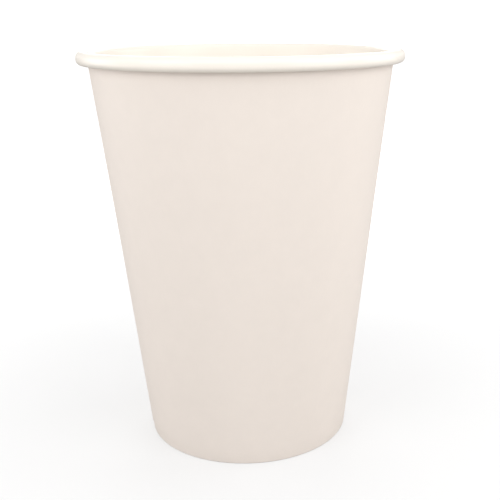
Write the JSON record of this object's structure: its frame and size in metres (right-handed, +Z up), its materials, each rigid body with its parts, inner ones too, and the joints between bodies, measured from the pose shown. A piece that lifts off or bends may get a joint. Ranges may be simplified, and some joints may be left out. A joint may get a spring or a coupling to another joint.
{
  "type": "paper coffee cup",
  "caption": "Plain single-wall paper cup for hot drinks, a tapered cone with a rolled rim, a recessed base and a lap seam up one side; takes a push-on lid",
  "frame": {"origin": "centre of the circle that the cup stands on", "axes": "+Z up through the mouth, -X towards the side seam (87 degrees round from +Y), -Y towards the plain front"},
  "size_m": [0.09, 0.09, 0.112],
  "materials": {
    "sidewall_board": "uncoated warm white outside with a soft satin sheen, smooth polyethylene coating inside",
    "base_board": "same paperboard, coated side up"
  },
  "bodies": {
    "root": {"sidewall": "sidewall_board", "base_disc": "base_board"}
  },
  "joints": []
}
